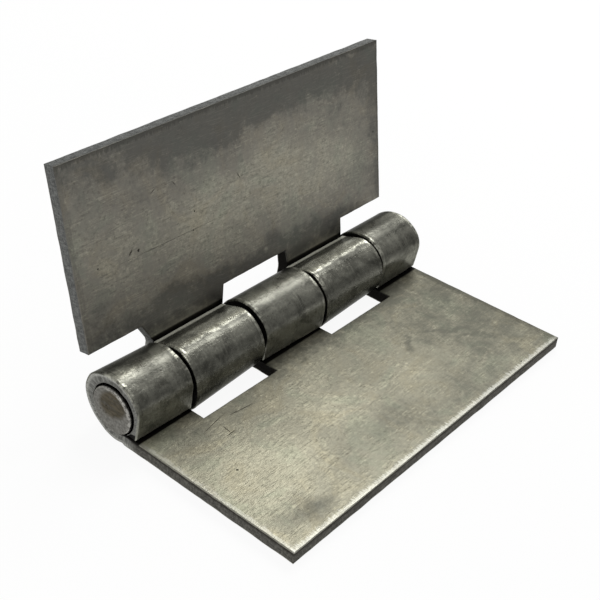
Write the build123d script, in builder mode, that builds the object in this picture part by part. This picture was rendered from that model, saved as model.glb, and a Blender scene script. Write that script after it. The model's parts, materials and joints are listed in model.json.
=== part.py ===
from build123d import *
import math
import os

os.makedirs("parts", exist_ok=True)

# Sizes in millimetres. X runs along the pin, Z is up, and the fixed leaf lies flat with its
# weld face on z = 0. The origin is the middle of that weld face.
hinge_length = 100.0
fixed_leaf_reach = 50.8
swing_leaf_reach = 52.2
plate_thickness = 3.4

# The pin, and the curled wall round it
pin_radius = 5.75
pin_clearance = 0.1
pin_overhang = 0.6
pin_end_bevel = 0.45
knuckle_wall = 2.55

# Knuckles: three on the fixed leaf (both ends and the middle), two on the swing leaf
middle_knuckle_width = 20.6
swing_knuckle_width = 22.0
knuckle_gap = 0.9

# Room between each leaf's notches and the other leaf's knuckles, and how much wider the swing
# leaf's tabs are at the plate than at the barrel
fixed_notch_clearance = 2.75
swing_notch_clearance = 3.3
tab_flare = 0.6

# Each curl follows the round barrel, turns in at the shoulder, comes down straight with a slight
# lean to the pin and ends square, a hair above the inner face of its own plate
shoulder_angle = 50.0
front_flattening = 0.65
front_lean = 8.0
seam_gap = 0.25

# Edges: the outer skin is rounded over by shearing, the bore mouths are broken
sheared_edge_round = 0.4
bore_mouth_bevel = 0.3

# How far the leaves stand open in this file
rest_opening = 100.0

bore_radius = pin_radius + pin_clearance
barrel_radius = bore_radius + knuckle_wall
inner_face = barrel_radius - plate_thickness
axis_point = Vector(0, fixed_leaf_reach / 2, barrel_radius)

swing_start = middle_knuckle_width / 2 + knuckle_gap
swing_end = swing_start + swing_knuckle_width
end_knuckle_start = swing_end + knuckle_gap
fixed_notch_depth = barrel_radius + fixed_notch_clearance
swing_notch_depth = barrel_radius + swing_notch_clearance

# Directions of each leaf: along it from the pin to its free edge, and out of its weld face
swing_turn = math.radians(180 - rest_opening)
fixed_along, fixed_out = Vector(0, -1, 0), Vector(0, 0, -1)
swing_along = Vector(0, math.cos(swing_turn), math.sin(swing_turn))
swing_out = Vector(0, math.sin(swing_turn), -math.cos(swing_turn))

# Past the metal on every side, for cuts that go right through
clear_of_barrel = 2 * barrel_radius
clear_of_end = hinge_length


def section_plane(along, out):
    """Plane across the pin: x along the leaf, y out of its weld face."""
    return Plane(origin=axis_point, x_dir=along, z_dir=along.cross(out))


def plan_plane(along):
    """Plane of the leaf's outline: x along the pin, y along the leaf."""
    return Plane(origin=axis_point, x_dir=(1, 0, 0), z_dir=Vector(1, 0, 0).cross(along))


# The curled end of the strip in section, shared by both leaves
turn = math.radians(shoulder_angle)
shoulder = (barrel_radius * math.sin(turn), -barrel_radius * math.cos(turn))
front_reach = barrel_radius - front_flattening
shoulder_radius = (front_reach - shoulder[0]) / (1 - math.sin(turn))
end_level = inner_face - seam_gap

with BuildSketch() as curl:
    with BuildLine():
        under = Line((barrel_radius, barrel_radius), (0, barrel_radius))
        back = ThreePointArc(under @ 1, (-barrel_radius, 0), shoulder)
        over = JernArc(shoulder, back % 1, shoulder_radius, 90 + front_lean - shoulder_angle)
        lean_in = (end_level - (over @ 1).Y) * math.tan(math.radians(front_lean))
        down = Line(over @ 1, ((over @ 1).X - lean_in, end_level))
        Polyline(down @ 1, (0, end_level), (0, inner_face), (barrel_radius, inner_face), under @ 0)
    make_face()
    Circle(bore_radius, mode=Mode.SUBTRACT)


def on_leaf(edge, along, out):
    """Where the middle of an edge lies: along the leaf and out of its weld face, from the pin."""
    place = edge @ 0.5 - axis_point
    return place.dot(along), place.dot(out)


def outer_edges(leaf, along, out):
    """Edges of the leaf's outer skin: round its weld face and across the ends of its curls."""
    hair = bore_mouth_bevel / 10
    chosen = []
    for edge in leaf.edges():
        reach, depth = on_leaf(edge, along, out)
        if edge.geom_type == GeomType.CIRCLE:
            is_outer = math.hypot(reach, depth) > bore_radius + hair
        else:
            is_outer = abs(depth - barrel_radius) < hair and reach > hair
        if is_outer:
            chosen.append(edge)
    return chosen


def bore_mouths(leaf, along, out):
    """Edges where the bore comes out of each curl."""
    hair = bore_mouth_bevel / 10
    rims = leaf.edges().filter_by(GeomType.CIRCLE)
    return [rim for rim in rims if abs(math.hypot(*on_leaf(rim, along, out)) - bore_radius) < hair]


with BuildPart() as three_knuckle_leaf:
    with BuildSketch(section_plane(fixed_along, fixed_out)):
        add(curl.sketch)
        with Locations((barrel_radius, inner_face)):
            Rectangle(fixed_leaf_reach - barrel_radius, plate_thickness, align=(Align.MIN, Align.MIN))
    extrude(amount=hinge_length / 2, both=True)
    with BuildSketch(plan_plane(fixed_along)):
        for side in (-1, 1):
            with BuildLine():
                Polyline(
                    (side * middle_knuckle_width / 2, -clear_of_barrel),
                    (side * middle_knuckle_width / 2, fixed_notch_depth),
                    (side * end_knuckle_start, fixed_notch_depth),
                    (side * end_knuckle_start, -clear_of_barrel),
                    close=True,
                )
            make_face()
    extrude(amount=clear_of_barrel, both=True, mode=Mode.SUBTRACT)
    fillet(outer_edges(three_knuckle_leaf.part, fixed_along, fixed_out), sheared_edge_round)
    chamfer(bore_mouths(three_knuckle_leaf.part, fixed_along, fixed_out), bore_mouth_bevel)

with BuildPart() as two_knuckle_leaf:
    with BuildSketch(section_plane(swing_along, swing_out)):
        add(curl.sketch)
        with Locations((barrel_radius, inner_face)):
            Rectangle(swing_leaf_reach - barrel_radius, plate_thickness, align=(Align.MIN, Align.MIN))
    extrude(amount=hinge_length / 2, both=True)
    with BuildSketch(plan_plane(swing_along)):
        with BuildLine():
            Polyline(
                (-swing_start, -clear_of_barrel),
                (-swing_start, barrel_radius),
                (-swing_start + tab_flare, swing_notch_depth),
                (swing_start - tab_flare, swing_notch_depth),
                (swing_start, barrel_radius),
                (swing_start, -clear_of_barrel),
                close=True,
            )
        make_face()
        for side in (-1, 1):
            with BuildLine():
                Polyline(
                    (side * swing_end, -clear_of_barrel),
                    (side * swing_end, barrel_radius),
                    (side * (swing_end + tab_flare), swing_notch_depth),
                    (side * clear_of_end, swing_notch_depth),
                    (side * clear_of_end, -clear_of_barrel),
                    close=True,
                )
            make_face()
    extrude(amount=clear_of_barrel, both=True, mode=Mode.SUBTRACT)
    fillet(outer_edges(two_knuckle_leaf.part, swing_along, swing_out), sheared_edge_round)
    chamfer(bore_mouths(two_knuckle_leaf.part, swing_along, swing_out), bore_mouth_bevel)

with BuildPart() as hinge_pin:
    with BuildSketch(Plane(origin=axis_point, x_dir=(0, 1, 0), z_dir=(1, 0, 0))):
        Circle(pin_radius)
    extrude(amount=hinge_length / 2 + pin_overhang, both=True)
    chamfer(hinge_pin.edges().filter_by(GeomType.CIRCLE), pin_end_bevel)

three_knuckle_leaf.part.label = "three_knuckle_leaf"
two_knuckle_leaf.part.label = "two_knuckle_leaf"
hinge_pin.part.label = "hinge_pin"

export_step(three_knuckle_leaf.part, "parts/three_knuckle_leaf.step")
export_step(two_knuckle_leaf.part, "parts/two_knuckle_leaf.step")
export_step(hinge_pin.part, "parts/hinge_pin.step")
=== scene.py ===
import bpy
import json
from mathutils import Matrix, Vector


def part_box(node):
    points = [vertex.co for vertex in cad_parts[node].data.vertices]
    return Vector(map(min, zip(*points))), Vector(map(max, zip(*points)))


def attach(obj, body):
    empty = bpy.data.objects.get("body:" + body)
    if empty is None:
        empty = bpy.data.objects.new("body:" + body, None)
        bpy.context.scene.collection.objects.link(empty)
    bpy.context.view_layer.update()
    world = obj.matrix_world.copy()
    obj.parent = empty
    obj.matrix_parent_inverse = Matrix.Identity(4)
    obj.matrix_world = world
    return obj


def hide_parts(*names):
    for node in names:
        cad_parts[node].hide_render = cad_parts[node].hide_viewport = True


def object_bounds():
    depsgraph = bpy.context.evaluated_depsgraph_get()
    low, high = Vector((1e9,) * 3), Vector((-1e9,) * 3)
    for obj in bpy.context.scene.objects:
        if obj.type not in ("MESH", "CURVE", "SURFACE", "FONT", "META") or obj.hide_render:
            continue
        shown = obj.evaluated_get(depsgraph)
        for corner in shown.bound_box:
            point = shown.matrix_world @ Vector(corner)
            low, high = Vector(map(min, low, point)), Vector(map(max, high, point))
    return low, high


bl_info = {
    "name": "Flat Weld-on Hinge",
    "version": (1, 0, 0),
    "blender": (4, 5, 0),
    "location": "View3D > Sidebar > Hinge",
    "description": "Builds the two curled steel leaves and the pin of a flat weld-on hinge",
    "category": "Object",
}

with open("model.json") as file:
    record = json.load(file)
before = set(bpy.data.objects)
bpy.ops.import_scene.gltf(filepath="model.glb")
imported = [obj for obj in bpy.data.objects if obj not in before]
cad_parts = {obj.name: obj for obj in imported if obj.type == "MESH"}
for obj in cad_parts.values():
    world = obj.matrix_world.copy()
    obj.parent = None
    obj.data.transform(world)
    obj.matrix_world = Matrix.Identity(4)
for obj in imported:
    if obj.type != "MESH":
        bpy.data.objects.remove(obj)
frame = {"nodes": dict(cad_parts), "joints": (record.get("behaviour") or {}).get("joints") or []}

import json
import math
from typing import NamedTuple

import bmesh
import bpy
import numpy as np
from bpy.props import FloatProperty, FloatVectorProperty, PointerProperty
from mathutils import Vector, noise

CAD_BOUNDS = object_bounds()
MM = 1000.0
FLOOR_DROP = 0.0001

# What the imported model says: where the pin axis is, how long the pieces are, how far the leaves open
swing_joint = frame["joints"][0]
pin_axis = Vector(swing_joint["pos_m"])
rest_opening = math.radians(-swing_joint["range_deg"][0])
fixed_low, fixed_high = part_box("three_knuckle_leaf")
pin_low, pin_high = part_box("hinge_pin")
half_length = (fixed_high.x - fixed_low.x) / 2
pin_radius = (pin_high.y - pin_low.y) / 2

# Directions of each leaf: along it from the pin to its free edge, and out of its weld face
FIXED_ALONG, FIXED_OUT = Vector((0, -1, 0)), Vector((0, 0, -1))
swing_turn = math.pi - rest_opening
SWING_ALONG = Vector((0, math.cos(swing_turn), math.sin(swing_turn)))
SWING_OUT = Vector((0, math.sin(swing_turn), -math.cos(swing_turn)))


def number(name, description, default, **options):
    return FloatProperty(name=name, description=description, default=default, min=0, **options)


def length(name, description, default):
    return number(name, description, default, unit="LENGTH", precision=5)


def share(name, description, default):
    return number(name, description, default, max=1, subtype="FACTOR")


def four_places(name, description, default):
    return FloatVectorProperty(
        name=name, description=description, default=default, size=4, unit="LENGTH", precision=5
    )


def colour(name, description, default):
    return FloatVectorProperty(
        name=name, description=description, default=default, size=3, subtype="COLOR", min=0, max=1
    )


class HingeSizes(bpy.types.PropertyGroup):
    """Sizes of the strip, the curls and the pin."""

    plate_thickness: length("Plate", "Thickness of the strip in the leaves", 0.0034)
    knuckle_wall: length("Curl wall", "Thickness of the strip round the pin", 0.00255)
    gap_places: four_places(
        "Gap places", "Middles of the gaps along the pin", (-0.03365, -0.01075, 0.01075, 0.03365)
    )
    gap_widths: four_places(
        "Gap widths", "Room between each two knuckles", (0.0009, 0.00125, 0.00085, 0.0006)
    )
    fixed_notch: length("Fixed notch", "Room between a fixed notch and the other barrel", 0.00275)
    swing_notch: length("Swing notch", "Room between a swing notch and the other barrel", 0.0033)
    tabs_at_barrel: four_places(
        "Tab sides at the barrel", "Sides of the swing tabs at the barrel",
        (-0.0322, -0.0107, 0.0124, 0.03335)
    )
    tabs_at_plate: four_places(
        "Tab sides at the plate", "Sides of the swing tabs at the notches' roots",
        (-0.0352, -0.0097, 0.0121, 0.03355)
    )
    edge_skew: length("Edge skew", "How far short the fixed leaf is cut at its near end", 0.00035)
    shoulder_angle: number("Shoulder", "Where the curl leaves the round", math.radians(50), subtype="ANGLE")
    front_lean: number("Lean", "How far the curl's end leans to the pin", math.radians(8), subtype="ANGLE")
    front_flattening: length("Front flattening", "How far the curl's front is pressed in", 0.00065)
    seam_gap: length("Seam gap", "Slot between the curl's end and its own plate", 0.0004)
    sheared_round: length("Roll-over", "Rounding that the shear leaves on the outer skin", 0.0004)
    droop_width: length("Droop width", "How far from its edge the outer skin is drawn down", 0.0013)
    droop_depth: length("Droop depth", "How far the outer skin is drawn down at its edge", 0.00014)
    ridge_place: length("Ridge place", "How far from a curl's edge its raised burr lies", 0.0005)
    ridge_height: length("Ridge height", "Height of the raised burr along a curl's edges", 0.00006)
    heel_flattening: length("Heel", "How far the barrel is pressed flat under its outer ends", 0.0003)
    burr_bevel: length("Burr", "Broken edge on the inner skin", 0.0002)
    mouth_depth: length("Mouth", "How far the outer bore mouths are worn open towards their top", 0.0008)
    waviness: length("Waviness", "How far the rolled skin wanders from true", 0.00004)
    skin_inset: length("Skin inset", "How far the skin lies inside the true outline at least", 0.00001)
    pin_clearance: length("Pin clearance", "Radial room between the pin and the bore", 0.0001)
    pin_settle: length("Pin settle", "How far the pin rests against the back of the bores", 0.00008)
    pin_end_bevel: length("Pin bevel", "Broken edge at each end of the pin", 0.00045)


class SteelLooks(bpy.types.PropertyGroup):
    """Tones of the bare steel."""

    # The light and dark tones of each leaf also carry the painted light and shade of its patches
    fixed_light: colour("Fixed light", "Rubbed patches of the fixed leaf", (0.328, 0.313, 0.236))
    fixed_middle: colour("Fixed middle", "Plain skin of the fixed leaf", (0.198, 0.19, 0.146))
    fixed_dark: colour("Fixed dark", "Stained patches of the fixed leaf", (0.102, 0.1, 0.08))
    swing_light: colour("Swing light", "Rubbed patches of the swing leaf", (0.315, 0.302, 0.246))
    swing_middle: colour("Swing middle", "Plain skin of the swing leaf", (0.211, 0.2, 0.17))
    swing_dark: colour("Swing dark", "Stained patches of the swing leaf", (0.112, 0.109, 0.098))
    # Darker than the flat: painted shade for the dark surroundings that the curls' fronts reflect
    curl_tone: colour("Curl", "Tone of the skin round the curls", (0.162, 0.161, 0.136))
    # Darker than the swing leaf's sheared faces: painted shade for the dark surroundings that the fixed
    # leaf's sides reflect
    fixed_sheared: colour("Fixed sheared", "Tone of the fixed leaf's sheared faces", (0.125, 0.121, 0.108))
    swing_sheared: colour("Swing sheared", "Tone of the swing leaf's sheared faces", (0.155, 0.158, 0.153))
    sheared_lip: colour(
        "Sheared lip", "Dark lip of a sheared face under the inner skin", (0.03, 0.026, 0.022)
    )
    ring_tone: colour("Curl ends", "Tone of the sheared ends of the curls", (0.235, 0.235, 0.218))
    pin_tone: colour("Pin", "Tone of the pin's ends", (0.2, 0.195, 0.18))
    pin_stain: colour("Pin stain", "Brown stain on the pin's ends", (0.07, 0.062, 0.048))
    # Painted shade: near black, in the bores, the gaps and notches and along the seams
    painted_shade: colour("Grime", "Oil and scale inside the bores", (0.008, 0.007, 0.006))
    # Edges made pale by rubbing together with a painted highlight of their rolled-over rounding
    rubbed_and_lit: colour("Rubbed", "Edges of the flat rubbed bright", (0.56, 0.56, 0.51))
    grazing_tint: colour(
        "Grazing tint", "How far the rough skin stays dark at a grazing look", (0.35, 0.35, 0.33)
    )
    roughness: share("Roughness", "Middle roughness of the flat", 0.46)
    curl_roughness: share("Curl roughness", "Middle roughness of the curls", 0.31)


class StudioSettings(bpy.types.PropertyGroup):
    """Floor, lamps and camera."""

    floor_colour: colour("Floor", "Plain pale floor", (0.93, 0.93, 0.92))
    floor_size: length("Floor size", "Edge of the square floor", 8.0)
    floor_glow: share(
        "Floor glow", "How far the floor shows as plain white to the camera and in reflections", 0.92
    )
    world_strength: number("Room light", "Even light of the room", 0.5)
    key_power: number("Key lamp", "Soft lamp high over the far end", 3.45, unit="POWER")
    fill_power: number("Fill lamp", "Soft lamp at the near end", 0.8, unit="POWER")
    camera_place: FloatVectorProperty(
        name="Camera", description="Where the camera stands", default=(-0.159274, -0.104032, 0.150987),
        size=3, subtype="TRANSLATION", unit="LENGTH"
    )
    camera_turn: FloatVectorProperty(
        name="Camera turn", description="Which way the camera looks",
        default=tuple(math.radians(a) for a in (51.44016, -3.44035, -48.41995)), size=3, subtype="EULER"
    )
    camera_lens: number("Lens", "Focal length in millimetres", 62.81)
    camera_shift: FloatVectorProperty(
        name="Shift", description="Shift of the frame off the lens axis", default=(0.04984, 0.13765), size=2
    )


# Geometry of the strip

# How far each notch's root lies off its plain place, from the near end to the far end
FIXED_ROOTS = (-0.0001, -0.00035)
SWING_ROOTS = (-0.00025, -0.0008, -0.00025)
# How far each knuckle stands out of the round at its back and at its front: at its near and its far side
FIXED_BULGES = (
    ((0.0007, 0.0001), (0, 0.0005)), ((-0.0003, -0.0004), (0, 0.0009)), ((0.0003, 0.00025), (0, 0)),
)
SWING_BULGES = (((0.00055, -0.0005), (0, 0)), ((0.0003, -0.00045), (0, 0)))
# Spans round the pin: middle and half span in degrees, from straight out, turning away from the leaf
FIXED_BACK, SWING_BACK = (115, 62), (130, 48)
FRONT, HEEL, MOUTH = (285, 70), (32, 40), (225, 110)
# The raised burr starts at this angle and has its full height this much further on
BURR_START, BURR_RISE = 95, 30


def bell(distance, width):
    """1 at no distance, fading out over about two widths."""
    return math.exp(-((distance / width) ** 2))


def hump(value, span):
    """1 at the middle of a span, falling smoothly to 0 at its ends."""
    middle, half = span
    return math.cos(min(abs(value - middle) / half, 1) * math.pi / 2) ** 2


def fall(radius, distance):
    """How far a rounded edge falls away at a distance from its side."""
    return radius - math.sqrt(max(radius**2 - max(radius - distance, 0) ** 2, 0))


def clamped(value):
    return min(max(value, 0), 1)


def spaced(start, stop, step, dense_start=False, dense_stop=False, offsets=()):
    """Places from start to stop about a step apart, closer together at the ends that ask for it."""
    span = abs(stop - start)
    inner = [o for o in offsets if o < span / 2]
    near = inner if dense_start else []
    far = inner if dense_stop else []
    low = near[-1] if near else 0.0
    high = span - (far[-1] if far else 0.0)
    count = max(1, round((high - low) / step))
    spots = [0.0] + near[:-1] + [low + (high - low) * k / count for k in range(count + 1)]
    spots += [span - o for o in reversed(far[:-1])] + [span]
    spots = sorted(set(round(p, 9) for p in spots))
    sign = 1 if stop > start else -1
    return [start + sign * p for p in spots]


def curl_profile(sizes, barrel):
    """Outer line of the curl: angle round the pin from straight out, and radius."""
    turn = sizes.shoulder_angle
    before_round, round_points, shoulder_points, front_points = -0.5, 120, 30, 60
    shoulder = np.array([barrel * math.sin(turn), -barrel * math.cos(turn)])
    reach = barrel - sizes.front_flattening
    bend = (reach - shoulder[0]) / (1 - math.sin(turn))
    centre = shoulder - bend * np.array([math.sin(turn), -math.cos(turn)])
    back = np.linspace(before_round, math.pi + turn, round_points)
    line = [barrel * np.array([math.sin(-a), math.cos(a)]) for a in back]
    swept = turn + np.linspace(0, 1, shoulder_points)[1:] * (math.pi / 2 + sizes.front_lean - turn)
    line += [centre + bend * np.array([math.sin(a), -math.cos(a)]) for a in swept]
    lean = np.array([-math.sin(sizes.front_lean), math.cos(sizes.front_lean)])
    last = line[-1]
    line += [last + lean * run for run in np.linspace(0, 2 * barrel, front_points)[1:]]
    line = np.array(line)
    around = np.unwrap(np.arctan2(-line[:, 0], line[:, 1]))
    return around, np.hypot(line[:, 0], line[:, 1])


class Strip:
    """One leaf: plain strip, notched, with its fingers curled round the pin. Lengths in metres."""

    PLATE_STEP, FINGER_STEP = 0.0011, 0.0009
    CURL_ROWS, WALL_ROWS = 84, 8
    # Rows close to an edge, in units of its rounding
    EDGE_ROWS = (0.05, 0.19, 0.41, 0.69, 1.0, 1.4, 2.0, 2.6, 3.3, 4.0)
    # Where the tabs' sides bend, in units of the barrel's radius
    TAB_BEND = 0.72
    # How far a shifted root fades along the leaf and past the notch's ends
    ROOT_FADE, NOTCH_FADE = 0.0025, 0.0008
    RIDGE_WIDTH, HEEL_REACH, TORN_DEPTH = 0.0002, 0.006, 0.00005
    # How far the sheared sides sway along the pin, and how this starts and fades
    SWAY, SWAY_START, SWAY_FADE = 0.00004, 0.004, 0.001
    # Noise of each uneven thing: its level, and waves a metre
    NOISES = {"round": (0, 220), "ridge": (1, 400), "skin": (0.3, 60), "burr": (0.7, 260), "side": (0.1, 130)}
    TORN_WAVES, TORN_OCTAVES = 900, 3
    # How much painted shade the sheared faces get: notches' roots, between the knuckles, and the first tab's
    # near side
    ROOT_GRIME, SIDE_GRIME, NEAR_TAB_GRIME = 0.8, 1.0, 0.15

    def __init__(self, sizes, reach, notch, fingers, place, seed, roots, bulges, back):
        self.sizes = sizes
        self.reach = reach
        self.fingers = fingers
        self.place = place
        self.offset = Vector((seed, 0, 0))
        self.roots = roots
        self.bulges = bulges
        self.back = back
        self.tabs = None
        self.skew = 0.0
        self.bore = pin_radius + sizes.pin_clearance
        self.barrel = self.bore + sizes.knuckle_wall
        self.inner_face = self.barrel - sizes.plate_thickness
        self.depth = self.barrel + notch
        self.offsets = [sizes.sheared_round * k for k in self.EDGE_ROWS]
        self.make_rows()
        self.make_columns()

    def make_rows(self):
        self.corner = corner = math.sqrt(self.bore**2 - self.inner_face**2)
        plate = spaced(self.reach, self.depth, self.PLATE_STEP, True, True, self.offsets)
        self.root = len(plate) - 1
        plate += spaced(self.depth, corner, self.FINGER_STEP)[1:]
        self.plate_rows = len(plate)
        end_level = self.inner_face - self.sizes.seam_gap
        around, radius = curl_profile(self.sizes, self.barrel)
        level = radius * np.cos(around)
        past = np.where((around > 1.5 * math.pi) & (level >= end_level))[0][0]
        mix = (end_level - level[past - 1]) / (level[past] - level[past - 1])
        outer_end = around[past - 1] + mix * (around[past] - around[past - 1])
        outer_start = -math.atan2(corner, self.barrel)
        inner_start = -math.asin(corner / self.bore)
        inner_end = 2 * math.pi - math.acos(end_level / self.bore)
        outer_run = self.barrel * (outer_end - outer_start)
        inner_run = self.bore * (inner_end - inner_start)
        ends = [o / outer_run for o in self.offsets]
        rows = [((a, self.barrel), (a, self.inner_face), a, a, 1.0, 1.0, 0.0) for a in plate]
        for t in spaced(0, 1, 1 / self.CURL_ROWS, False, True, ends)[1:]:
            at = outer_start + t * (outer_end - outer_start)
            near = inner_start + t * (inner_end - inner_start)
            far = float(np.interp(at, around, radius))
            rows.append((
                (-far * math.sin(at), far * math.cos(at)),
                (-self.bore * math.sin(near), self.bore * math.cos(near)),
                corner - t * outer_run, corner - t * inner_run,
                (1 - t) * outer_run, (1 - t) * inner_run, math.degrees(at),
            ))
        (self.outer, self.inner, self.run_outer, self.run_inner, self.end_outer, self.end_inner,
         self.around) = (np.array(column) for column in zip(*rows))

    def make_columns(self):
        knots = sorted({-half_length, half_length, *(x for finger in self.fingers for x in finger)})
        columns = [knots[0]]
        self.column_finger = []
        for low, high in zip(knots, knots[1:]):
            finger = any(a < (low + high) / 2 < b for a, b in self.fingers)
            dense_low = finger or low == -half_length
            dense_high = finger or high == half_length
            spots = spaced(low, high, self.FINGER_STEP, dense_low, dense_high, self.offsets)
            columns += spots[1:]
            self.column_finger += [finger] * (len(spots) - 1)
        self.columns = np.array(columns)
        self.knots = np.array(knots)

    def across(self, j):
        """Places of the columns along the pin at row j, with the tabs' sides at their own slants."""
        if self.tabs is None:
            return self.columns
        levels = (self.corner, self.barrel * self.TAB_BEND, self.depth)
        at_barrel, at_plate = ((-half_length, *sides, half_length) for sides in self.tabs)
        run = self.run_outer[j]
        moved = [np.interp(run, levels, side) for side in zip(self.knots, at_barrel, at_plate)]
        return np.interp(self.columns, self.knots, moved)

    def slide(self, x, j):
        """How far a point of the plate lies out of its plain place, along the leaf."""
        run = self.run_outer[j]
        total = 0.0
        for low, high, shift in self.roots:
            past = max(low - x, x - high, 0.0)
            total += shift * bell(run - self.depth, self.ROOT_FADE) * bell(past, self.NOTCH_FADE)
        outwards = max((run - self.depth) / (self.reach - self.depth), 0.0)
        return total - self.skew * outwards * (0.5 - x / (2 * half_length))

    def bulge(self, x, j):
        """How far the curl's skin stands out of its plain round: no two knuckles are rolled alike."""
        hair = 0.0001
        for (low, high), (back, front) in zip(self.fingers, self.bulges):
            if low - hair <= x <= high + hair:
                along = clamped((x - low) / (high - low))
                total = 0.0
                for (near, far), span in ((back, self.back), (front, FRONT)):
                    total += (near + along * (far - near)) * hump(self.around[j], span)
                if self.skew:
                    at_end = bell(half_length - abs(x), self.HEEL_REACH)
                    total -= self.sizes.heel_flattening * at_end * hump(self.around[j], HEEL)
                return total
        return 0.0

    def edge_distance(self, x, j, from_end, knots):
        """How far a point of the skin lies from the nearest sheared edge."""
        run = self.run_outer[j]
        near = [self.reach - run, half_length - abs(x), from_end]
        if j > self.root:
            return min(near + [abs(x - k) for k in knots])
        # A stretch that starts where no finger does is a notch
        same_side = half_length / 20
        for low, high in zip(knots, knots[1:]):
            if not any(abs(low - finger[0]) < same_side for finger in self.fingers):
                near.append(math.hypot(max(low - x, x - high, 0.0), run - self.depth))
        return min(near)

    def rough(self, x, y, z, waves, octaves=2):
        return noise.fractal(Vector((x, y, z)) * waves + self.offset, 0.7, 2.0, octaves)

    def uneven(self, thing, x, run):
        level, waves = self.NOISES[thing]
        return self.rough(x, run, level, waves)

    def skin_at(self, x, column, j, knots):
        """Outer and inner skin at one place: x along the pin, both points across it, distances to edges."""
        s = self.sizes
        run = self.run_outer[j]
        on_curl = j >= self.plate_rows
        slid = np.array([0.0 if on_curl else self.slide(column, j), 0.0])
        outer, inner = self.outer[j] + slid, self.inner[j] + slid
        through = (inner - outer) / np.linalg.norm(inner - outer)
        from_outer = self.edge_distance(x, j, self.end_outer[j], knots)
        from_inner = self.edge_distance(x, j, self.end_inner[j], knots)

        drop = fall(s.sheared_round * (1 + 0.5 * self.uneven("round", x, run)), from_outer)
        on_plate = clamped((run - self.corner) / self.barrel)
        drop += s.droop_depth * on_plate * max(1 - from_outer / s.droop_width, 0) ** 2
        if on_curl:
            ridge = s.ridge_height * bell(from_outer - s.ridge_place, self.RIDGE_WIDTH)
            risen = clamped((self.around[j] - BURR_START) / BURR_RISE)
            drop -= ridge * risen * (0.7 + 0.8 * self.uneven("ridge", x, run)) + self.bulge(column, j)
        drop += s.skin_inset + s.waviness * max(0.5 + self.uneven("skin", x, run), 0)

        burr = s.burr_bevel * (1 + 0.6 * self.uneven("burr", x, run))
        if self.skew and on_curl and half_length - abs(x) < s.mouth_depth:
            burr += s.mouth_depth * 0.55 * hump(self.around[j], MOUTH)
        if on_curl and from_inner < 2 * burr:
            lift = max(1.5 * burr - from_inner, 0)
        else:
            lift = fall(burr, from_inner)

        if j > self.root:
            fade = min((self.run_outer[self.root] - run) / self.SWAY_START, 1.0)
            fade *= math.exp(-min(abs(x - k) for k in knots) / self.SWAY_FADE)
            x = x + self.SWAY * fade * self.uneven("side", x, run)
        return x, outer + through * drop, inner - through * lift, from_outer, from_inner

    def wall_shade(self, x, j, step):
        """How much painted shade a sheared face gets: none round the outline, dark in the notches and by the
        knuckles.
        """
        if abs(x) > half_length * 0.99 or j == 0:
            return 0.0
        if self.tabs and step == (-1, 0) and x < -0.6 * half_length and self.run_outer[j] > self.corner:
            return self.NEAR_TAB_GRIME
        return self.SIDE_GRIME if j > self.root else self.ROOT_GRIME

    def build(self, name):
        s = self.sizes
        rows, cols = len(self.outer), len(self.columns)
        exists = np.zeros((cols - 1, rows - 1), bool)
        exists[:, :self.root] = True
        exists[np.array(self.column_finger)] = True
        tangent = np.gradient(self.outer, axis=0)
        tangent /= np.linalg.norm(tangent, axis=1)[:, None]
        points, strip, rim = [], [], []

        def add(x, pair, run, depth, distance):
            points.append((x, pair[0], pair[1]))
            strip.append((x * MM, run * MM, depth * MM))
            rim.append(distance * MM)
            return len(points) - 1

        skin = {}
        for j in range(rows):
            spots = self.across(j)
            knots = [spots[np.argmin(abs(self.columns - k))] for k in self.knots]
            for i in range(cols):
                if exists[max(i - 1, 0):i + 1, max(j - 1, 0):j + 1].any():
                    x, outer, inner, from_outer, from_inner = self.skin_at(
                        spots[i], self.columns[i], j, knots
                    )
                    skin[i, j] = (
                        add(x, outer, self.run_outer[j], 0.0, from_outer),
                        add(x, inner, self.run_inner[j], s.plate_thickness, from_inner),
                    )

        faces, sheared, bore, walls, sides = [], [], [], [], {}
        for i in range(cols - 1):
            for j in range(rows - 1):
                if not exists[i, j]:
                    continue
                a, b, c, d = (skin[i, j], skin[i + 1, j], skin[i + 1, j + 1], skin[i, j + 1])
                faces += [(a[0], b[0], c[0], d[0]), (a[1], d[1], c[1], b[1])]
                sheared += [0.0, 0.0]
                bore += [0.0, 1.0 if j + 1 >= self.plate_rows else 0.0]
                for ends, step in (
                    (((i, j), (i, j + 1)), (-1, 0)), (((i + 1, j + 1), (i + 1, j)), (1, 0)),
                    (((i + 1, j), (i, j)), (0, -1)), (((i, j + 1), (i + 1, j + 1)), (0, 1)),
                ):
                    ni, nj = i + step[0], j + step[1]
                    if 0 <= ni < cols - 1 and 0 <= nj < rows - 1 and exists[ni, nj]:
                        continue
                    for end in ends:
                        sides.setdefault(end, []).append(step)
                    walls.append((ends, j, step))

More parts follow.
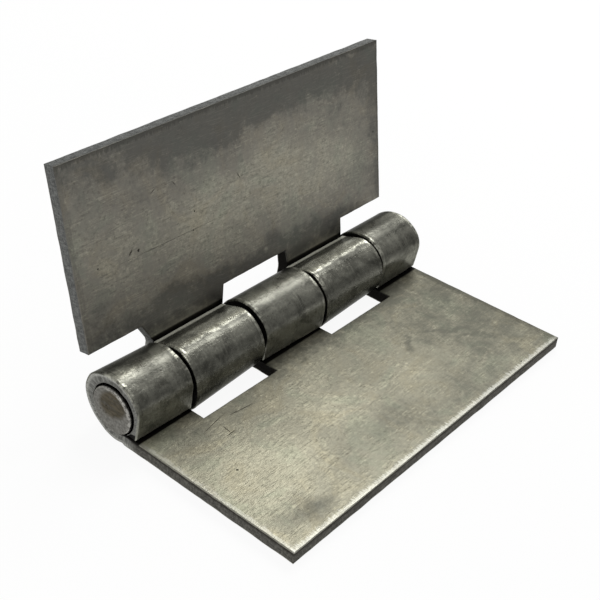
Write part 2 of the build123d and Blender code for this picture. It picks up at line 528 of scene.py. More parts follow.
        # Torn wall between the two skins, set back a little from the sheared outline
        rungs = {}
        for (i, j), steps in sides.items():
            first, last = skin[i, j]
            start, stop = np.array(points[first]), np.array(points[last])
            way = np.sum(steps, axis=0, dtype=float)
            way /= np.linalg.norm(way) or 1.0
            out = np.array([way[0], *(way[1] * tangent[j])])
            ladder = [first]
            for k in range(1, self.WALL_ROWS):
                v = k / self.WALL_ROWS
                spot = start + (stop - start) * v
                torn = clamped((v - 0.3) / 0.25) * min((1 - v) / 0.12, 1)
                grain = self.rough(
                    spot[0], self.run_outer[j], spot[2] * 3, self.TORN_WAVES, self.TORN_OCTAVES
                )
                spot = spot - out * max((torn * self.TORN_DEPTH + s.skin_inset) * (1 + grain), 0)
                ladder.append(add(spot[0], spot[1:], self.run_outer[j], v * s.plate_thickness, 0.0))
            rungs[i, j] = ladder + [last]
        for ends, j, step in walls:
            one, two = rungs[ends[0]], rungs[ends[1]]
            for k in range(self.WALL_ROWS):
                faces.append((one[k], two[k], two[k + 1], one[k + 1]))
                sheared.append(1.0)
                bore.append(self.wall_shade(points[one[k]][0], j, step))

        frame_of_leaf = np.array([(1, 0, 0), *self.place])
        world = np.array(points) @ frame_of_leaf + np.array(pin_axis)
        return steel_mesh(name, world, faces, strip, rim, sheared, bore)


def steel_mesh(name, points, faces, strip, rim, sheared, bore):
    """A mesh object with the coordinates and masks that its steel material reads."""
    mesh = bpy.data.meshes.new(name)
    mesh.from_pydata([tuple(p) for p in points], [], faces)
    for title, kind, domain, values in (
        ("strip", "FLOAT_VECTOR", "POINT", strip),
        ("rim", "FLOAT", "POINT", rim),
        ("sheared", "FLOAT", "FACE", sheared),
        ("bore", "FLOAT", "FACE", bore),
    ):
        layer = mesh.attributes.new(title, kind, domain)
        flat = np.array(values, np.float32).ravel()
        layer.data.foreach_set("vector" if kind == "FLOAT_VECTOR" else "value", flat)
    shaped = bmesh.new()
    shaped.from_mesh(mesh)
    bmesh.ops.recalc_face_normals(shaped, faces=shaped.faces)
    shaped.to_mesh(mesh)
    shaped.free()
    mesh.shade_smooth()
    mesh.set_sharp_from_angle(angle=math.radians(38))
    piece = bpy.data.objects.new(name, mesh)
    bpy.context.scene.collection.objects.link(piece)
    return piece


# Materials


def scaled(tone, factor):
    return tuple(min(1.0, factor * c) for c in tone)


class Nodes:
    """Short calls for building one material."""

    def __init__(self, name):
        self.material = bpy.data.materials.new(name)
        self.material.use_nodes = True
        self.tree = self.material.node_tree
        self.tree.nodes.clear()

    def add(self, kind, inputs=None, **settings):
        made = self.tree.nodes.new(kind)
        for key, value in settings.items():
            setattr(made, key, value)
        for key, value in (inputs or {}).items():
            if isinstance(value, bpy.types.NodeSocket):
                self.tree.links.new(value, made.inputs[key])
            elif value is not None:
                made.inputs[key].default_value = value
        return made

    def math(self, operation, a, b=None, c=None):
        return self.add("ShaderNodeMath", {0: a, 1: b, 2: c}, operation=operation).outputs[0]

    def madd(self, a, b, c):
        """a times b plus c."""
        return self.math("MULTIPLY_ADD", a, b, c)

    def product(self, first, *others):
        for other in others:
            first = self.math("MULTIPLY", first, other)
        return first

    def greatest(self, values):
        first, *others = values
        for other in others:
            first = self.math("MAXIMUM", first, other)
        return first

    def vector(self, operation, a, b=None):
        return self.add("ShaderNodeVectorMath", {0: a, 1: b}, operation=operation).outputs[0]

    def noise(self, vector, scale, detail, roughness, distortion=0.0):
        made = self.add("ShaderNodeTexNoise", {
            "Vector": vector, "Scale": scale, "Detail": detail, "Roughness": roughness,
            "Distortion": distortion,
        })
        return made.outputs["Fac"]

    def ramp(self, value, low, high, start=0.0, end=1.0):
        inputs = {"Value": value, "From Min": low, "From Max": high, "To Min": start, "To Max": end}
        return self.add("ShaderNodeMapRange", inputs, interpolation_type="SMOOTHSTEP", clamp=True).outputs[0]

    def follow(self, value, stops):
        """A factor that runs smoothly from stop to stop, each a place and the factor there."""
        total = stops[0][1]
        for (start, low), (end, high) in zip(stops, stops[1:]):
            total = self.math("ADD", total, self.ramp(value, start, end, 0.0, high - low))
        return total

    def mix(self, factor, a, b, blend="MIX"):
        made = self.add("ShaderNodeMix", {0: factor}, data_type="RGBA", blend_type=blend)
        for socket, value in ((made.inputs[6], a), (made.inputs[7], b)):
            if isinstance(value, bpy.types.NodeSocket):
                self.tree.links.new(value, socket)
            else:
                socket.default_value = (*value, 1.0)
        return made.outputs[2]

    def attribute(self, name, output="Fac"):
        return self.add("ShaderNodeAttribute", attribute_name=name).outputs[output]

    def patch(self, coordinates, place, turn, size, soft=0.8):
        """A soft patch, 1 in its middle and 0 outside: size is its half length, half width and half depth."""
        own = self.add("ShaderNodeMapping", {
            "Vector": coordinates, "Location": place, "Rotation": (0, 0, math.radians(turn)), "Scale": size
        }, vector_type="TEXTURE")
        away = self.add("ShaderNodeVectorMath", {0: own.outputs[0]}, operation="LENGTH")
        return self.ramp(away.outputs["Value"], 1.0 - soft, 1.0, 1.0, 0.0)

    def scratch(self, coordinates, start, end, width, height):
        """A thin line between two places of the strip, fading towards its ends."""
        middle = ((start[0] + end[0]) / 2, (start[1] + end[1]) / 2, height)
        turn = math.degrees(math.atan2(end[1] - start[1], end[0] - start[0]))
        return self.patch(coordinates, middle, turn, (math.dist(start, end) / 2, width, 1.0), 0.9)

    def steel(self, base, metallic, rough, bump, looks):
        surface = self.add("ShaderNodeBsdfPrincipled", {
            "Base Color": base, "Metallic": metallic, "Roughness": rough, "Normal": bump,
            "Specular Tint": (*looks.grazing_tint, 1.0),
        })
        return self.finish(surface.outputs[0])

    def finish(self, surface):
        self.add("ShaderNodeOutputMaterial", {"Surface": surface})
        return self.material


class LeafWearAndLight(NamedTuple):
    """How one leaf is marked by rubbing, and where light and shade are painted on it. Places are along the
    pin and along the strip from the pin, in mm.

    sweep: painted light, how much paler the flat gets for each millimetre along the pin
    edges: free edge, near end, far end, each how far made paler by rubbing together with a painted highlight
    of the rolled-over edge (darker if negative), and how wide
    plain_lip: how far a sheared face stays plain under the inner skin
    bright_tip, top: how bright the painted highlight along the curl's end is, and where the curl's top is,
    round which the specks are brightest
    bands: painted highlight and painted shade round the curl, each the place along the strip and how bright
    curl_patches, flat_patches: place, turn, half length, half width and strength; the curl's patches dim or
    lift its painted bands, the flat's are stains together with painted light and shade
    scratches: both ends and width
    pits: place and radius
    """

    sweep: float
    edges: tuple
    plain_lip: float
    bright_tip: float
    top: float
    bands: tuple
    curl_patches: tuple
    flat_patches: tuple
    scratches: tuple
    pits: tuple


FIXED_WEAR_AND_LIGHT = LeafWearAndLight(
    sweep=-0.005,
    edges=((0.42, 0.95), (0.34, 0.9), (-0.45, 1.6)),
    plain_lip=0.2,
    bright_tip=0,
    top=-28.5,
    bands=((-17, 1), (-19.5, 0.5), (-23, 0.5), (-24.8, 1.9), (-27, 2), (-28.2, 1), (-29.8, 0.55),
           (-31.5, 1.35), (-33.3, 0.95), (-35.1, 0.65), (-36.8, 1.6), (-40.3, 1.8), (-42.5, 1.4)),
    curl_patches=((-47, -26.6, 0, 4, 2.6, 1.6), (-41.5, -29, 0, 3, 2, -0.35),
                  (42, -27, 0, 11, 4, -0.6), (43, -36.5, 0, 9, 2.5, -0.4)),
    flat_patches=((-34, 33, 10, 18, 14, 0.28), (-8, 30, 20, 15, 9, 0.1), (11, 33, 20, 11, 6, 0.06),
                  (-39, 45.5, 4, 9, 4.5, -0.4), (6, 43, 5, 40, 12, -0.12), (0, 11, 0, 60, 5, -0.25),
                  (-42, 12, 0, 8, 9, -0.2), (21, 27, -30, 5, 2, -0.2), (33, 30, 35, 10, 1.6, -0.2),
                  (36, 36, 30, 9, 1.5, -0.15)),
    scratches=((-33.1, 15.5, -33.5, 18.8, 0.12), (-35.4, 18.8, -31.9, 18.5, 0.1),
               (-30.5, 14.2, -22, 15.4, 0.1), (-38, 14.6, -30, 13.2, 0.08)),
    pits=((-40.9, 27.4, 0.3), (34.6, 49.4, 0.25)),
)

SWING_WEAR_AND_LIGHT = LeafWearAndLight(
    sweep=0,
    edges=((-0.55, 0.9), (-0.25, 1.2), (-0.4, 0.7)),
    plain_lip=0.85,
    bright_tip=0.8,
    top=-36,
    bands=((-17, 1), (-20, 0.5), (-23, 0.5), (-24.5, 1.5), (-26.3, 1.3), (-28.5, 0.6), (-29.8, 0.6),
           (-31.5, 1.2), (-33.3, 1.55), (-35.1, 0.64), (-36.3, 4.8), (-39.2, 4.8), (-40.8, 1.1), (-43, 0.9)),
    curl_patches=((23, -34.8, 0, 16, 2.2, -0.55), (-14, -35, 0, 6, 2, -0.35)),
    flat_patches=((0, 50, 0, 75, 10, -0.5), (0, 29, 0, 60, 13, 0.3), (30, 26, 30, 16, 10, 0.2),
                  (0, 12, 0, 60, 7, -0.4), (45, 46, 0, 18, 10, -0.32), (-46, 18, 90, 20, 6, -0.1),
                  (48.5, 28, 90, 26, 5, -0.25)),
    scratches=((-43.6, 27.5, -2.2, 27.1, 0.06), (-35.9, 28, -34.3, 29.6, 0.24),
               (-2.4, 35.7, -1.1, 33.4, 0.12), (-27.9, 39.1, -26.1, 40, 0.1),
               (-21.5, 39.8, -20.6, 38.6, 0.1)),
    pits=((-33, 28.5, 0.4), (-17.1, 27.1, 0.25), (-16.2, 31.2, 0.25), (-44, 28.7, 0.25), (47.7, 29.9, 0.3)),
)

# Patterns of the skin: stretch in the three directions, then the noise's scale, detail, roughness, distortion
SKIN_PATTERNS = {
    "broad": (None, 0.05, 4.0, 0.6, 0.4),
    "mottle": (None, 0.27, 5.0, 0.65, 0.3),
    "dimples": (None, 1.1, 2.0, 0.5, 0.3),
    "speckle": (None, 2.4, 3.0, 0.6),
    "tint": (None, 0.09, 4.0, 0.6, 1.0),
    "stain": (None, 0.14, 5.0, 0.6, 0.8),
    "across": ((0.05, 1.1, 1.0), 1.0, 4.0, 0.6),
    "comb": ((2.6, 0.3, 1.0), 1.0, 3.0, 0.6),
    "rubs": ((1.6, 0.12, 1.0), 1.0, 3.0, 0.6, 0.4),
}
FACE_PATTERNS = {
    "tears": ((0.5, 0.5, 5.0), 1.0, 5.0, 0.75),
    "chatter": ((2.5, 2.5, 0.6), 1.0, 3.0, 0.7),
    "ridges": ((1.0, 1.9, 0.3), 1.0, 3.0, 0.6),
}
TONE_WEIGHTS = {"broad": 0.8, "mottle": 0.75, "across": 0.2, "dimples": 0.2, "speckle": 0.2}
# Fine threads of scratches: turn in degrees, fineness across, and a shift that keeps them apart
THREADS = ((22, 3.2, 0.0), (-42, 3.6, 40.0), (12, 3.8, 190.0), (76, 3.4, 90.0), (-12, 4.0, 140.0))
THREAD_LENGTH = 0.26
# Places along the strip, in mm: where the flat gives way to the curl, the painted shadow along the seam, the
# curl's end with its painted highlight and the painted shade on its end face
CURL_FADE = (7.5, 3.5)
SEAM_START, SEAM_END, SEAM_DEPTH = (8.0, 7.5), (2.0, 3.0), (2.8, 3.2)
TIP, TIP_SHADE = (-41.9, -42.6), (-42.5, -43.0)
# How far apart the patterns of the two skins are drawn, and how far the patches' outlines wander
SKINS_APART, WANDER = 23.0, 9.0
PATCH_DEPTH = 2.0
METALLIC, TIP_METALLIC = 0.78, -0.5
# How worn a leaf is all over that has no rubbed edge
EVENLY_WORN = 0.5
# Tone that no painted highlight band passes
BRIGHTEST = (0.85, 0.85, 0.8)


class LeafNodes(Nodes):
    """The coordinates, masks and patterns that a leaf's steel is mixed from."""

    def __init__(self, name):
        super().__init__(name)
        self.strip = self.attribute("strip", "Vector")
        self.rim, self.sheared, self.bore = (self.attribute(title) for title in ("rim", "sheared", "bore"))
        self.across_pin, self.run, self.depth = self.add("ShaderNodeSeparateXYZ", {0: self.strip}).outputs
        self.curl = self.ramp(self.run, *CURL_FADE)
        self.flat = self.math("SUBTRACT", 1.0, self.curl)
        # The two skins of the strip carry different patterns
        self.skin = self.vector("MULTIPLY", self.strip, (1.0, 1.0, SKINS_APART))
        for base, patterns in ((self.skin, SKIN_PATTERNS), (self.strip, FACE_PATTERNS)):
            for title, (stretch, *texture) in patterns.items():
                place = self.vector("MULTIPLY", base, stretch) if stretch else base
                setattr(self, title, self.noise(place, *texture))
        self.flecks = self.math("ADD", self.speckle, self.dimples)
        torn = self.math("MULTIPLY", self.tears, 0.65)
        self.torn = self.madd(self.chatter, 0.4, torn)


def flat_skin(n, wear_and_light, tones, face):
    """Colour of the flat, how rough it is from place to place, and its fine scratches."""
    light, middle, dark = tones
    drift = n.add("ShaderNodeTexNoise", {"Vector": n.skin, "Scale": 0.18, "Detail": 3.0}).outputs["Color"]
    drift = n.vector("SUBTRACT", drift, (0.5, 0.5, 0.5))
    loose = n.vector("ADD", n.strip, n.vector("MULTIPLY", drift, (WANDER, WANDER, 0.0)))
    tone = -sum(TONE_WEIGHTS.values()) / 2
    for title, weight in TONE_WEIGHTS.items():
        tone = n.madd(getattr(n, title), weight, tone)
    # Painted light: the flat paler towards the near end, and patches that are stains together with painted
    # light and shade
    tone = n.madd(n.across_pin, wear_and_light.sweep, tone)
    for x, run, turn, long, wide, strength in wear_and_light.flat_patches:
        patch = n.patch(loose, (x, run, face), turn, (long, wide, PATCH_DEPTH))
        tone = n.madd(patch, strength, tone)
    skin = n.mix(n.ramp(tone, -0.4, 0.02), dark, middle)
    skin = n.mix(n.ramp(tone, -0.02, 0.45), skin, light)
    skin = n.mix(n.ramp(n.tint, 0.5, 0.66, 0.0, 0.6), skin, (0.93, 1.0, 0.98), "MULTIPLY")
    skin = n.mix(n.ramp(n.tint, 0.5, 0.34, 0.0, 0.6), skin, (1.02, 0.98, 0.91), "MULTIPLY")

    # Rough and smooth patches, fine grain, and short scratches lying every way
    patchy = n.ramp(n.madd(tone, 0.35, n.mottle), 0.42, 0.62, 0.25, 1.0)
    darker = n.product(n.ramp(n.flecks, 0.96, 0.7, 0.0, 0.5), patchy)
    skin = n.mix(darker, skin, (0.45, 0.44, 0.42), "MULTIPLY")
    paler = n.product(n.ramp(n.flecks, 1.04, 1.3, 0.0, 0.4), patchy)
    skin = n.mix(paler, skin, (1.6, 1.6, 1.55), "MULTIPLY")
    threads = []
    for turn, fineness, shift in THREADS:
        turned = n.add("ShaderNodeMapping", {
            "Vector": n.skin, "Rotation": (0, 0, math.radians(turn)), "Location": (shift, shift, 0),
            "Scale": (THREAD_LENGTH, fineness, 1.0),
        })
        threads.append(n.noise(turned.outputs[0], 1.0, 2.0, 0.5, 0.8))
    hairs = n.greatest(n.ramp(thread, 0.63, 0.7) for thread in threads)
    glints = n.greatest(n.ramp(thread, 0.37, 0.31) for thread in threads)
    skin = n.mix(n.product(hairs, patchy, 0.34), skin, scaled(dark, 0.8))
    skin = n.mix(n.product(glints, patchy, 0.3), skin, scaled(light, 1.35))
    return skin, patchy, hairs


def curl_skin(n, wear_and_light, looks):
    """Colour of the curl with painted highlight and shade bands, and the painted highlight along its end."""
    tone = looks.curl_tone
    skin = n.mix(n.ramp(n.stain, 0.36, 0.58), scaled(tone, 0.5), tone)
    skin = n.mix(n.ramp(n.rubs, 0.5, 0.75, 0.0, 0.35), skin, scaled(tone, 1.6))
    skin = n.mix(n.ramp(n.flecks, 0.96, 0.72, 0.0, 0.4), skin, scaled(tone, 0.4))
    skin = n.mix(n.ramp(n.flecks, 1.05, 1.3, 0.0, 0.35), skin, scaled(tone, 1.8))
    # Painted highlight and painted shade: bands round the curl made brighter where the key light reflects and
    # darker where it doesn't, dimmed or lifted knuckle by knuckle by patches
    ragged_run = n.madd(n.math("SUBTRACT", n.mottle, 0.5), 2.2, n.run)
    shine = n.follow(ragged_run, wear_and_light.bands)
    for x, run, turn, long, wide, strength in wear_and_light.curl_patches:
        patch = n.patch(n.strip, (x, run, 0), turn, (long, wide, PATCH_DEPTH))
        shine = n.product(shine, n.madd(patch, strength, 1.0))
    banded = n.add("ShaderNodeVectorMath", {0: skin, "Scale": shine}, operation="SCALE")
    skin = n.vector("MINIMUM", banded.outputs[0], BRIGHTEST)
    # Bright specks on a curl's raised edges, partly burr and partly painted highlight, brightest round the
    # top where the light falls; and a dark line a little further in
    raised = n.ramp(n.madd(n.speckle, 1.4, n.rim), 2.1, 1.2)
    by_top = n.ramp(n.math("ABSOLUTE", n.math("SUBTRACT", n.run, wear_and_light.top)), 6.5, 2.5)
    raised = n.product(
        raised, n.ramp(n.dimples, 0.4, 0.55, 0.1, 0.95), n.madd(by_top, 0.75, 0.12),
        n.ramp(n.mottle, 0.42, 0.58, 0.15, 1.0),
    )
    skin = n.mix(raised, skin, scaled(tone, 3.8))
    from_line = n.math("ABSOLUTE", n.math("SUBTRACT", n.rim, 1.25))
    line = n.product(n.ramp(from_line, 0.16, 0.05), n.ramp(n.mottle, 0.45, 0.55, 0.0, 0.5))
    skin = n.mix(line, skin, scaled(tone, 0.3))
    # Painted highlight: a bright thin line along the curl's rounded end, where it catches the light
    tip = n.product(n.ramp(n.madd(n.speckle, 1.2, n.run), *TIP), wear_and_light.bright_tip)
    return n.mix(tip, skin, scaled(tone, 4.2)), tip


def rubbed_and_lit_edges(n, skin, wear_and_light, looks, dark, reach):
    """Edges of the flat made paler, by rubbing together with a painted highlight of the rolled-over edge, or
    darker, each in its own way, with a thin dark line elsewhere.
    """
    half = half_length * MM
    distances = (
        n.math("SUBTRACT", reach, n.run), n.math("ADD", half, n.across_pin),
        n.math("SUBTRACT", half, n.across_pin),
    )
    rubbed_and_lit = []
    for distance, (strength, width) in zip(distances, wear_and_light.edges):
        ragged = n.madd(n.dimples, 0.8 * width, distance)
        ragged = n.madd(n.comb, 2.8 * width, ragged)
        band = n.product(n.ramp(ragged, 3.3 * width, 2.4 * width), n.flat, abs(strength))
        if strength > 0:
            rubbed_and_lit.append(band)
        skin = n.mix(band, skin, looks.rubbed_and_lit if strength > 0 else scaled(dark, 0.45))
    worn_and_lit = n.greatest(rubbed_and_lit) if rubbed_and_lit else EVENLY_WORN
    line = n.ramp(n.madd(n.speckle, 0.3, n.rim), 0.5, 0.2, 0.0, 0.5)
    line = n.product(line, n.flat, n.math("SUBTRACT", 1.0, worn_and_lit))
    return n.mix(line, skin, scaled(dark, 0.5)), worn_and_lit


def sheared_faces(n, wear_and_light, looks, plain):
    """Faces torn lengthwise, with a dark lip under the inner skin, and paler rims on the curls' ends."""
    face = n.mix(n.ramp(n.torn, 0.4, 0.7), scaled(plain, 0.45), scaled(plain, 1.8))
    face = n.mix(n.ramp(n.speckle, 0.55, 0.66, 0.0, wear_and_light.plain_lip), face, scaled(plain, 2.2))
    tone = looks.ring_tone
    ring = n.mix(n.ramp(n.ridges, 0.4, 0.62), scaled(tone, 0.6), scaled(tone, 1.25))
    pale_rim = n.product(
        n.ramp(n.depth, 1.3, 0.5), n.ramp(n.chatter, 0.36, 0.56, 0.2, 1.0),
        n.ramp(n.run, -34.0, -30.0, 0.25, 1.0)
    )
    ring = n.mix(pale_rim, ring, scaled(tone, 2.0))
    face = n.mix(n.curl, face, ring)
    lip = n.math("MAXIMUM", n.ramp(n.depth, 3.1, 2.0, wear_and_light.plain_lip, 1.0), n.curl)
    return n.mix(lip, looks.sheared_lip, face)


def leaf_steel(name, looks, wear_and_light, tones, sheared_tone, reach, face):
    """Bare strip steel: mottled skin, edges made pale by rubbing and painted highlight, painted highlight and
    shade bands round the curls, torn sheared faces, and painted shade in the bores, gaps and seams.
    """
    n = LeafNodes(name)
    dark = tones[-1]
    skin, patchy, hairs = flat_skin(n, wear_and_light, tones, face)
    curled, tip = curl_skin(n, wear_and_light, looks)
    skin = n.mix(n.curl, skin, curled)
    skin, worn_and_lit = rubbed_and_lit_edges(n, skin, wear_and_light, looks, dark, reach)
    skin = n.mix(n.sheared, skin, sheared_faces(n, wear_and_light, looks, sheared_tone))

    # Painted shade, near black, in the bores, the gaps and notches and along the seams where shade falls, and
    # on the curl's end face
    seam = n.product(n.ramp(n.run, *SEAM_START), n.ramp(n.run, *SEAM_END), n.ramp(n.depth, *SEAM_DEPTH))
    at_tip = n.product(n.sheared, n.ramp(n.run, *TIP_SHADE))
    skin = n.mix(n.greatest((seam, at_tip, n.bore)), skin, looks.painted_shade)

    marks = [n.scratch(n.strip, (x, run), (far_x, far_run), width, face)
             for x, run, far_x, far_run, width in wear_and_light.scratches]
    marks += [n.patch(n.strip, (x, run, face), 0, (radius, radius, 1.0), 0.6) for x, run, radius in wear_and_light.pits]
    marks = n.greatest(marks)
    skin = n.mix(n.product(marks, n.ramp(n.flecks, 0.8, 1.0, 0.35, 1.0)), skin, scaled(dark, 0.2))

    # The patterns take the roughness about 0.21 up, which the first step takes back
    rough = n.madd(n.mottle, 0.22, looks.roughness - 0.21)
    for pattern, weight in (
        (n.speckle, 0.2), (n.curl, looks.curl_roughness - looks.roughness), (worn_and_lit, -0.1), (n.sheared, 0.2)
    ):
        rough = n.madd(pattern, weight, rough)
    height = n.product(n.flecks, n.madd(patchy, 0.2, 0.15))
    for pattern, weight in (
        (n.rubs, n.product(n.curl, 0.3)), (hairs, n.product(patchy, -0.12)),
        (n.torn, n.product(n.sheared, 2.0)), (marks, -2.0)
    ):
        height = n.madd(pattern, weight, height)
    bump = n.add("ShaderNodeBump", {"Strength": 0.8, "Distance": 0.0001, "Height": height})
    metallic = n.madd(n.product(tip, n.curl), TIP_METALLIC, METALLIC)
    return n.steel(skin, metallic, rough, bump.outputs[0], looks)


def cropped_bar(name, looks):
    """The pin: a cropped end, smooth low down and stained brown above, with a painted highlight on the upper
    right of its bevel.
    """
    n = Nodes(name)
    strip, rim, bore = n.attribute("strip", "Vector"), n.attribute("rim"), n.attribute("bore")
    side, up, _ = n.add("ShaderNodeSeparateXYZ", {0: strip}).outputs
    # Where the brown stain and the pocks lie on the near end: across the pin, up, and along it, in mm
    near_end = pin_low.x * MM
    stain_place, stain_turn, stain_size = (-0.6, 1.9, near_end), -38, (5.6, 3.9, 9.0)
    pock_place, pock_size = (2.2, -0.6, near_end), (3.0, 3.0, 9.0)
    grain = n.noise(strip, 1.6, 4.0, 0.65)
    torn = n.noise(n.vector("MULTIPLY", strip, (0.35, 1.6, 1.0)), 1.0, 4.0, 0.6, 0.6)
    plain = n.mix(n.ramp(grain, 0.36, 0.66), scaled(looks.pin_tone, 0.75), scaled(looks.pin_tone, 1.25))
    stain = n.patch(strip, stain_place, stain_turn, stain_size, 0.35)
    stain = n.product(stain, n.ramp(torn, 0.36, 0.5, 0.6, 1.0))
    plain = n.mix(stain, plain, n.mix(n.ramp(torn, 0.4, 0.62), looks.pin_stain, scaled(looks.pin_stain, 1.9)))
    pocks = n.product(n.ramp(grain, 0.42, 0.36), n.patch(strip, pock_place, 0, pock_size, 0.9))
    plain = n.mix(pocks, plain, scaled(looks.pin_stain, 0.3))
    # Painted highlight: the bevel made bright only on its upper right, where the light falls
    lit = n.ramp(n.math("SUBTRACT", up, side), 1.5, 6.0)
    bevel = n.product(n.ramp(rim, 0.9, 0.55), n.ramp(grain, 0.42, 0.54), lit)
    plain = n.mix(bevel, plain, scaled(looks.pin_tone, 2.2))
    # Painted shade on the pin's middle, inside the bores
    plain = n.mix(bore, plain, looks.painted_shade)
    height = n.madd(torn, 0.8, grain)
    bump = n.add("ShaderNodeBump", {"Strength": 0.6, "Distance": 0.0001, "Height": height})
    rough = n.madd(grain, 0.3, n.madd(stain, 0.12, 0.22))
    return n.steel(plain, 1.0, rough, bump.outputs[0], looks)


def dress_stage(settings):
    """Floor, world, lamps and camera."""
    half = settings.floor_size / 2
    mesh = bpy.data.meshes.new("studio_floor")
    level = CAD_BOUNDS[0][2] - FLOOR_DROP
    corners = [(-half, -half, level), (half, -half, level), (half, half, level), (-half, half, level)]
    mesh.from_pydata(corners, [], [(0, 1, 2, 3)])
    floor = bpy.data.objects.new("studio_floor", mesh)
    bpy.context.scene.collection.objects.link(floor)
    n = Nodes("pale_floor")
    surface = n.add("ShaderNodeBsdfDiffuse", {"Color": (*settings.floor_colour, 1)})
    glow = n.add("ShaderNodeEmission", {"Color": (1, 1, 1, 1), "Strength": 1.0})
    path = n.add("ShaderNodeLightPath").outputs
    seen = n.greatest((path["Is Camera Ray"], path["Is Glossy Ray"], path["Is Transmission Ray"]))
    seen = n.product(seen, settings.floor_glow)
    blend = n.add("ShaderNodeMixShader", {0: seen, 1: surface.outputs[0], 2: glow.outputs[0]})
    mesh.materials.append(n.finish(blend.outputs[0]))

    world = bpy.data.worlds.new("soft_room")
    world.use_nodes = True
    background = world.node_tree.nodes["Background"]
    background.inputs["Color"].default_value = (1, 1, 1, 1)
    background.inputs["Strength"].default_value = settings.world_strength
    bpy.context.scene.world = world

    aim = Vector((0, 0.02, 0.02))
    for name, strength, size, place in (
        ("key_lamp", settings.key_power, 0.46, (0.44, 0.15, 0.65)),
        ("fill_lamp", settings.fill_power, 0.4, (-0.6, -0.1, 0.4)),
    ):
        lamp = bpy.data.lights.new(name, "AREA")
        lamp.energy = strength
        lamp.shape = "DISK"
        lamp.size = size
        holder = bpy.data.objects.new(name, lamp)
        holder.location = place
        holder.rotation_euler = (aim - Vector(place)).to_track_quat("-Z", "Y").to_euler()
        bpy.context.scene.collection.objects.link(holder)

    camera = bpy.data.cameras.new("photo_camera")
    camera.lens = settings.camera_lens
    camera.sensor_width = 36
    camera.shift_x, camera.shift_y = settings.camera_shift
    camera.clip_start = 0.01
    stand = bpy.data.objects.new("photo_camera", camera)
    stand.location = settings.camera_place
    stand.rotation_euler = settings.camera_turn
    bpy.context.scene.collection.objects.link(stand)
    bpy.context.scene.camera = stand
    bpy.context.scene.view_settings.view_transform = "Standard"


# Operators


def gap_sides(sizes):
    """Near and far side of each gap between the knuckles, along the pin."""
    gaps = list(zip(sizes.gap_places, sizes.gap_widths))
    return [middle - width / 2 for middle, width in gaps], [middle + width / 2 for middle, width in gaps]


class HINGE_OT_fixed_leaf(bpy.types.Operator):
    """Build the leaf that lies flat, with the two end knuckles and the middle one"""

    bl_idname = "hinge.fixed_leaf"
    bl_label = "Fixed leaf"

    def execute(self, context):
        sizes, looks = context.scene.hinge_sizes, context.scene.hinge_looks
        lows, highs = gap_sides(sizes)
        fingers = [(-half_length, lows[0]), (highs[1], lows[2]), (highs[3], half_length)]
        notches = ((lows[0], highs[1]), (lows[2], highs[3]))
        roots = [(*notch, shift) for notch, shift in zip(notches, FIXED_ROOTS)]
        strip = Strip(
            sizes, pin_axis.y - fixed_low.y, sizes.fixed_notch, fingers, (FIXED_ALONG, FIXED_OUT), 3,
            roots, FIXED_BULGES, FIXED_BACK
        )
        strip.skew = sizes.edge_skew
        leaf = strip.build("fixed_leaf")
        leaf.data.materials.append(leaf_steel(
            "fixed_leaf_steel", looks, FIXED_WEAR_AND_LIGHT, (looks.fixed_light, looks.fixed_middle, looks.fixed_dark),
            looks.fixed_sheared, strip.reach * MM, sizes.plate_thickness * MM
        ))
        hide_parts("three_knuckle_leaf")
        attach(leaf, "fixed_leaf")
        return {"FINISHED"}


class HINGE_OT_swing_leaf(bpy.types.Operator):
    """Build the leaf that turns, with the second and the fourth knuckle"""

    bl_idname = "hinge.swing_leaf"
    bl_label = "Swing leaf"

    def execute(self, context):
        sizes, looks = context.scene.hinge_sizes, context.scene.hinge_looks
        lows, highs = gap_sides(sizes)
        fingers = [(highs[0], lows[1]), (highs[2], lows[3])]
        notches = ((-half_length, highs[0]), (lows[1], highs[2]), (lows[3], half_length))
        roots = [(*notch, shift) for notch, shift in zip(notches, SWING_ROOTS)]
        corners = frame["nodes"]["two_knuckle_leaf"].data.vertices
        reach = max((Vector(corner.co) - pin_axis).dot(SWING_ALONG) for corner in corners)
        strip = Strip(
            sizes, reach, sizes.swing_notch, fingers, (SWING_ALONG, SWING_OUT), 11,
            roots, SWING_BULGES, SWING_BACK
        )
        strip.tabs = (sizes.tabs_at_barrel, sizes.tabs_at_plate)
        leaf = strip.build("swing_leaf")
        leaf.data.materials.append(leaf_steel(
            "swing_leaf_steel", looks, SWING_WEAR_AND_LIGHT, (looks.swing_light, looks.swing_middle, looks.swing_dark),
            looks.swing_sheared, reach * MM, sizes.plate_thickness * MM
        ))
        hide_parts("two_knuckle_leaf")
        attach(leaf, "swing_leaf")
        return {"FINISHED"}


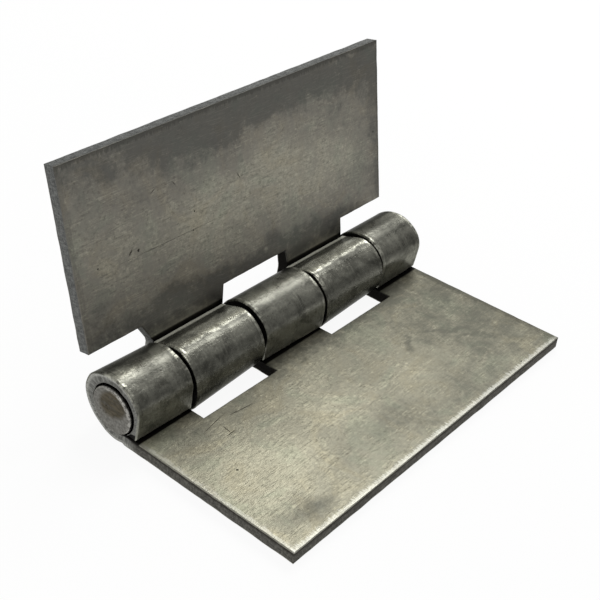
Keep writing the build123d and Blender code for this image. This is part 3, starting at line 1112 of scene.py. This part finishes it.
class HINGE_OT_pin(bpy.types.Operator):
    """Build the cropped round bar that both leaves are curled round"""

    bl_idname = "hinge.pin"
    bl_label = "Pin"

    def execute(self, context):
        sizes, looks = context.scene.hinge_sizes, context.scene.hinge_looks
        end, bevel = pin_high.x, sizes.pin_end_bevel
        around, end_rings, bevel_rings, body_rings = 128, 14, 7, 60
        middle_hole, hollow, hollow_width, torn_depth, first_slant = 0.0006, 0.00012, 0.004, 0.00006, 0.15
        profile = [(end - hollow * bell(r, hollow_width), r)
                   for r in np.linspace(middle_hole, pin_radius - bevel, end_rings)]
        profile += [(end - bevel * (1 - math.cos(a)), pin_radius - bevel * (1 - math.sin(a)))
                    for a in np.linspace(first_slant, math.pi / 2, bevel_rings)]
        near_end = [(-x, r) for x, r in reversed(profile)]
        profile += [(x, pin_radius) for x in np.linspace(end - 2 * bevel, -end + 2 * bevel, body_rings)]
        profile += near_end
        settle = sizes.pin_settle * Vector((0, 0.7, -0.7))
        points, strip, rim, faces, bore = [], [], [], [], []
        for x, r in profile:
            cropped = r < pin_radius - bevel / 2
            for k in range(around):
                turn = 2 * math.pi * k / around
                y, z = r * math.cos(turn), r * math.sin(turn)
                ragged = noise.fractal(Vector((y, z, x)) * 500, 0.7, 2.0, 3)
                push = torn_depth * max(ragged + 0.6, 0) if cropped else 0.0
                points.append(pin_axis + settle + Vector((x - math.copysign(push, x), y, z)))
                strip.append((y * MM, z * MM, x * MM) if cropped else (x * MM, turn * pin_radius * MM, 0.0))
                rim.append(abs(r - pin_radius) * MM if abs(x) > end - 2 * bevel else 9.0)
        for ring, (x, _) in enumerate(profile[:-1]):
            first, second = ring * around, (ring + 1) * around
            for k in range(around):
                m = (k + 1) % around
                faces.append((first + k, first + m, second + m, second + k))
                bore.append(1.0 if abs(x) < end - 2.5 * bevel else 0.0)
        last = (len(profile) - 1) * around
        faces += [tuple(range(around - 1, -1, -1)), tuple(last + k for k in range(around))]
        bore += [0.0, 0.0]
        pin = steel_mesh("pin", points, faces, strip, rim, [0.0] * len(faces), bore)
        pin.data.materials.append(cropped_bar("pin_steel", looks))
        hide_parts("hinge_pin")
        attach(pin, "fixed_leaf")
        return {"FINISHED"}


class HINGE_OT_stage(bpy.types.Operator):
    """Lay the pale floor, hang the lamps and set the camera"""

    bl_idname = "hinge.stage"
    bl_label = "Stage"

    def execute(self, context):
        dress_stage(context.scene.hinge_studio)
        return {"FINISHED"}


class HINGE_PT_panel(bpy.types.Panel):
    """Every step of the hinge"""

    bl_idname = "HINGE_PT_panel"
    bl_label = "Flat hinge"
    bl_space_type = "VIEW_3D"
    bl_region_type = "UI"
    bl_category = "Hinge"

    def draw(self, context):
        for step in (HINGE_OT_fixed_leaf, HINGE_OT_swing_leaf, HINGE_OT_pin, HINGE_OT_stage):
            self.layout.operator(step.bl_idname)


CLASSES = (
    HingeSizes, SteelLooks, StudioSettings, HINGE_OT_fixed_leaf, HINGE_OT_swing_leaf, HINGE_OT_pin,
    HINGE_OT_stage, HINGE_PT_panel,
)


def register():
    for item in CLASSES:
        bpy.utils.register_class(item)
    bpy.types.Scene.hinge_sizes = PointerProperty(type=HingeSizes)
    bpy.types.Scene.hinge_looks = PointerProperty(type=SteelLooks)
    bpy.types.Scene.hinge_studio = PointerProperty(type=StudioSettings)


def unregister():
    for name in ("hinge_studio", "hinge_looks", "hinge_sizes"):
        delattr(bpy.types.Scene, name)
    for item in reversed(CLASSES):
        bpy.utils.unregister_class(item)


def main():
    register()
    bpy.ops.hinge.stage()
    bpy.ops.hinge.fixed_leaf()
    bpy.ops.hinge.swing_leaf()
    bpy.ops.hinge.pin()


if __name__ == "__main__":
    main()
